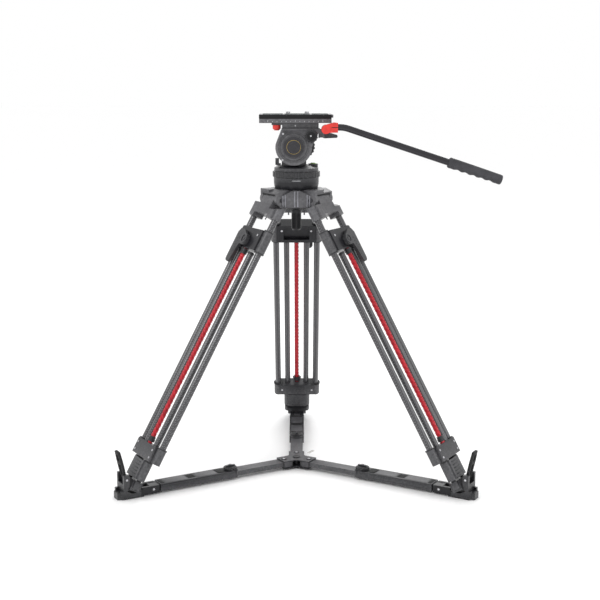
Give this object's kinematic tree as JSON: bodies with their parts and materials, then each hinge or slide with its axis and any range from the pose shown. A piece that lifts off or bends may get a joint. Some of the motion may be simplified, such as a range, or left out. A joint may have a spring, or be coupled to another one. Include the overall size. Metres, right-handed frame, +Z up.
{
  "type": "video tripod",
  "caption": "Video tripod with a fluid head, pan bar, sliding camera plate, twin-tube legs with red lock rods, and a ground spreader. No camera is mounted.",
  "frame": {"origin": "on the floor, under the centre of the bowl", "axes": "+Z up; +X towards the pan bar; +Y towards the rear leg"},
  "size_m": [0.8421, 0.6858, 0.8145],
  "materials": {
    "black_casting": "black powder-coated casting",
    "black_plastic": "black moulded plastic",
    "carbon_tube": "dark carbon-fibre tube, satin clear coat",
    "grey_casting": "dark grey powder-coated casting",
    "grip_rubber": "moulded rubber",
    "red_metal": "red anodised aluminium",
    "satin_black_tube": "satin black anodised tube",
    "steel": "plain turned steel",
    "vial": "clear green level vial"
  },
  "bodies": {
    "crown": {"crown": "grey_casting", "hinge_pins": "steel"},
    "front_left_leg": {"front_left_shoulder": "grey_casting", "front_left_upper_tubes": "carbon_tube", "front_left_lock_collar": "black_casting", "front_left_lower_bracket": "black_casting"},
    "front_left_mid": {"front_left_mid_tubes": "carbon_tube", "front_left_lower_casting": "black_casting"},
    "front_left_lower": {"front_left_lower_stage": "black_casting", "front_left_foot_plate": "black_plastic"},
    "front_left_lever": {"front_left_lock_lever": "black_plastic"},
    "front_left_rod": {"front_left_lock_rod": "red_metal"},
    "front_right_leg": {"front_right_shoulder": "grey_casting", "front_right_upper_tubes": "carbon_tube", "front_right_lock_collar": "black_casting", "front_right_lower_bracket": "black_casting"},
    "front_right_mid": {"front_right_mid_tubes": "carbon_tube", "front_right_lower_casting": "black_casting"},
    "front_right_lower": {"front_right_lower_stage": "black_casting", "front_right_foot_plate": "black_plastic"},
    "front_right_lever": {"front_right_lock_lever": "black_plastic"},
    "front_right_rod": {"front_right_lock_rod": "red_metal"},
    "rear_leg": {"rear_shoulder": "grey_casting", "rear_upper_tubes": "carbon_tube", "rear_lock_collar": "black_casting", "rear_lower_bracket": "black_casting"},
    "rear_mid": {"rear_mid_tubes": "carbon_tube", "rear_lower_casting": "black_casting"},
    "rear_lower": {"rear_lower_stage": "black_casting", "rear_foot_plate": "black_plastic"},
    "rear_lever": {"rear_lock_lever": "black_plastic"},
    "rear_rod": {"rear_lock_rod": "red_metal"},
    "spreader_hub": {"spreader_hub": "black_casting", "inner_arms": "black_casting"},
    "front_left_arm": {"front_left_outer_arm": "black_casting"},
    "front_left_arm_knob": {"front_left_arm_knob": "black_plastic"},
    "front_right_arm": {"front_right_outer_arm": "black_casting"},
    "front_right_arm_knob": {"front_right_arm_knob": "black_plastic"},
    "rear_arm": {"rear_outer_arm": "black_casting"},
    "rear_arm_knob": {"rear_arm_knob": "black_plastic"},
    "ball": {"half_ball": "black_casting"},
    "tie_down": {"bowl_clamp_knob": "black_plastic"},
    "pan": {"pan_base": "black_casting", "tilt_drum": "steel", "bubble_level": "vial"},
    "pan_ring": {"pan_drag_ring": "black_plastic"},
    "pan_lever": {"pan_lock_lever": "black_plastic"},
    "tilt": {"tilt_housing": "grey_casting", "side_covers": "black_plastic", "plate_rail": "black_casting"},
    "drag_knob": {"tilt_drag_knob": "black_plastic"},
    "balance_dial": {"counterbalance_dial": "black_plastic"},
    "tilt_lever": {"tilt_lock_lever": "black_plastic"},
    "plate": {"camera_plate": "black_casting", "camera_screws": "steel"},
    "plate_lock": {"plate_lock_knob": "red_metal"},
    "button": {"safety_button": "black_plastic"},
    "handle": {"pan_bar_clamp": "red_metal", "pan_bar": "satin_black_tube", "pan_bar_grip": "grip_rubber"}
  },
  "joints": [
    {"name": "front_left_leg_spread", "type": "hinge", "parent": "crown", "child": "front_left_leg", "pos_m": [-0.05023, -0.029, 0.624], "axis": [0.5, -0.866, 0], "range_deg": [0, 10]},
    {"name": "front_right_leg_spread", "type": "hinge", "parent": "crown", "child": "front_right_leg", "pos_m": [0.05023, -0.029, 0.624], "axis": [0.5, 0.866, 0], "range_deg": [0, 10]},
    {"name": "rear_leg_spread", "type": "hinge", "parent": "crown", "child": "rear_leg", "pos_m": [0, 0.058, 0.624], "axis": [-1, 0, 0], "range_deg": [0, 10]},
    {"name": "spreader_hub_drop", "type": "slide", "parent": "crown", "child": "spreader_hub", "axis": [0, 0, 1], "range_m": [-0.0443, 0]},
    {"name": "front_left_arm_telescope", "type": "slide", "parent": "spreader_hub", "child": "front_left_arm", "axis": [-0.866, -0.5, 0], "range_m": [-0.111, 0]},
    {"name": "front_left_arm_knob_turn", "type": "hinge", "parent": "front_left_arm", "child": "front_left_arm_knob", "pos_m": [-0.14896, -0.086, 0.025], "axis": [0, 0, 1], "range_deg": [0, 180]},
    {"name": "front_left_mid_stage", "type": "slide", "parent": "front_left_leg", "child": "front_left_mid", "axis": [-0.4356, -0.2515, -0.8643], "range_m": [0, 0.36]},
    {"name": "front_left_lower_stage", "type": "slide", "parent": "front_left_mid", "child": "front_left_lower", "axis": [-0.4356, -0.2515, -0.8643], "range_m": [0, 0.34]},
    {"name": "front_left_lock_lever_flip", "type": "hinge", "parent": "front_left_leg", "child": "front_left_lever", "pos_m": [-0.10963, -0.06329, 0.53896], "axis": [0.7485, 0.4321, -0.503], "range_deg": [0, 80]},
    {"name": "front_left_lock_rod_turn", "type": "hinge", "parent": "front_left_leg", "child": "front_left_rod", "pos_m": [-0.18691, -0.10791, 0.36874], "axis": [-0.4356, -0.2515, -0.8643], "range_deg": [0, 80]},
    {"name": "front_right_arm_telescope", "type": "slide", "parent": "spreader_hub", "child": "front_right_arm", "axis": [0.866, -0.5, 0], "range_m": [-0.111, 0]},
    {"name": "front_right_arm_knob_turn", "type": "hinge", "parent": "front_right_arm", "child": "front_right_arm_knob", "pos_m": [0.14896, -0.086, 0.025], "axis": [0, 0, 1], "range_deg": [0, 180]},
    {"name": "front_right_mid_stage", "type": "slide", "parent": "front_right_leg", "child": "front_right_mid", "axis": [0.4356, -0.2515, -0.8643], "range_m": [0, 0.36]},
    {"name": "front_right_lower_stage", "type": "slide", "parent": "front_right_mid", "child": "front_right_lower", "axis": [0.4356, -0.2515, -0.8643], "range_m": [0, 0.34]},
    {"name": "front_right_lock_lever_flip", "type": "hinge", "parent": "front_right_leg", "child": "front_right_lever", "pos_m": [0.10963, -0.06329, 0.53896], "axis": [0.7485, -0.4321, 0.503], "range_deg": [0, 80]},
    {"name": "front_right_lock_rod_turn", "type": "hinge", "parent": "front_right_leg", "child": "front_right_rod", "pos_m": [0.18691, -0.10791, 0.36874], "axis": [0.4356, -0.2515, -0.8643], "range_deg": [0, 80]},
    {"name": "rear_arm_telescope", "type": "slide", "parent": "spreader_hub", "child": "rear_arm", "axis": [0, 1, 0], "range_m": [-0.111, 0]},
    {"name": "rear_arm_knob_turn", "type": "hinge", "parent": "rear_arm", "child": "rear_arm_knob", "pos_m": [0, 0.172, 0.025], "axis": [0, 0, 1], "range_deg": [0, 180]},
    {"name": "rear_mid_stage", "type": "slide", "parent": "rear_leg", "child": "rear_mid", "axis": [0, 0.503, -0.8643], "range_m": [0, 0.36]},
    {"name": "rear_lower_stage", "type": "slide", "parent": "rear_mid", "child": "rear_lower", "axis": [0, 0.503, -0.8643], "range_m": [0, 0.34]},
    {"name": "rear_lock_lever_flip", "type": "hinge", "parent": "rear_leg", "child": "rear_lever", "pos_m": [0, 0.12659, 0.53896], "axis": [0, -0.8643, -0.503], "range_deg": [0, 80]},
    {"name": "rear_lock_rod_turn", "type": "hinge", "parent": "rear_leg", "child": "rear_rod", "pos_m": [0, 0.21582, 0.36874], "axis": [0, 0.503, -0.8643], "range_deg": [0, 80]},
    {"name": "ball_level", "type": "hinge", "parent": "crown", "child": "ball", "pos_m": [0, 0, 0.662], "axis": [1, 0, 0], "range_deg": [-10, 10]},
    {"name": "tie_down_turn", "type": "hinge", "parent": "ball", "child": "tie_down", "pos_m": [0, 0, 0.57], "axis": [0, 0, 1], "range_deg": [0, 180]},
    {"name": "pan_turn", "type": "hinge", "parent": "ball", "child": "pan", "pos_m": [0, 0, 0.68], "axis": [0, 0, 1], "continuous": true},
    {"name": "pan_drag_turn", "type": "hinge", "parent": "ball", "child": "pan_ring", "pos_m": [0, 0, 0.677], "axis": [0, 0, 1], "range_deg": [-60, 60]},
    {"name": "pan_lock_turn", "type": "hinge", "parent": "pan", "child": "pan_lever", "pos_m": [-0.039, -0.019, 0.7], "axis": [0, 0, 1], "range_deg": [0, 60]},
    {"name": "tilt_turn", "type": "hinge", "parent": "pan", "child": "tilt", "pos_m": [-0.0055, 0, 0.739], "axis": [0, 1, 0], "range_deg": [-65, 45]},
    {"name": "tilt_drag_turn", "type": "hinge", "parent": "tilt", "child": "drag_knob", "pos_m": [0.033, -0.05, 0.763], "axis": [0, 1, 0], "range_deg": [-135, 135]},
    {"name": "counterbalance_turn", "type": "hinge", "parent": "tilt", "child": "balance_dial", "pos_m": [0.015, 0.055, 0.735], "axis": [0, 1, 0], "range_deg": [-135, 135]},
    {"name": "tilt_lock_turn", "type": "hinge", "parent": "tilt", "child": "tilt_lever", "pos_m": [0.0587, 0, 0.7648], "axis": [0, 1, 0], "range_deg": [-25, 15]},
    {"name": "plate_slide", "type": "slide", "parent": "tilt", "child": "plate", "axis": [1, 0, 0], "range_m": [-0.035, 0.035]},
    {"name": "plate_lock_turn", "type": "hinge", "parent": "tilt", "child": "plate_lock", "pos_m": [-0.043, -0.017, 0.78], "axis": [0, 0, 1], "range_deg": [0, 90]},
    {"name": "safety_button_press", "type": "slide", "parent": "tilt", "child": "button", "axis": [0, 1, 0], "range_m": [0, 0.0025], "stiffness_N_per_m": 150, "springref_m": -0.001},
    {"name": "pan_bar_rosette", "type": "hinge", "parent": "tilt", "child": "handle", "pos_m": [0.064, -0.059, 0.778], "axis": [0, 1, 0], "range_deg": [-60, 25]}
  ],
  "couplings": [
    {"joint": "front_right_leg_spread", "follows": "front_left_leg_spread", "ratio": 1},
    {"joint": "rear_leg_spread", "follows": "front_left_leg_spread", "ratio": 1},
    {"joint": "spreader_hub_drop", "follows": "front_left_leg_spread", "m_per_rad": -0.25321},
    {"joint": "front_left_arm_telescope", "follows": "front_left_leg_spread", "m_per_rad": -0.63521},
    {"joint": "front_left_lock_rod_turn", "follows": "front_left_lock_lever_flip", "ratio": 1},
    {"joint": "front_right_arm_telescope", "follows": "front_left_leg_spread", "m_per_rad": -0.63521},
    {"joint": "front_right_lock_rod_turn", "follows": "front_right_lock_lever_flip", "ratio": 1},
    {"joint": "rear_arm_telescope", "follows": "front_left_leg_spread", "m_per_rad": -0.63521},
    {"joint": "rear_lock_rod_turn", "follows": "rear_lock_lever_flip", "ratio": 1}
  ]
}
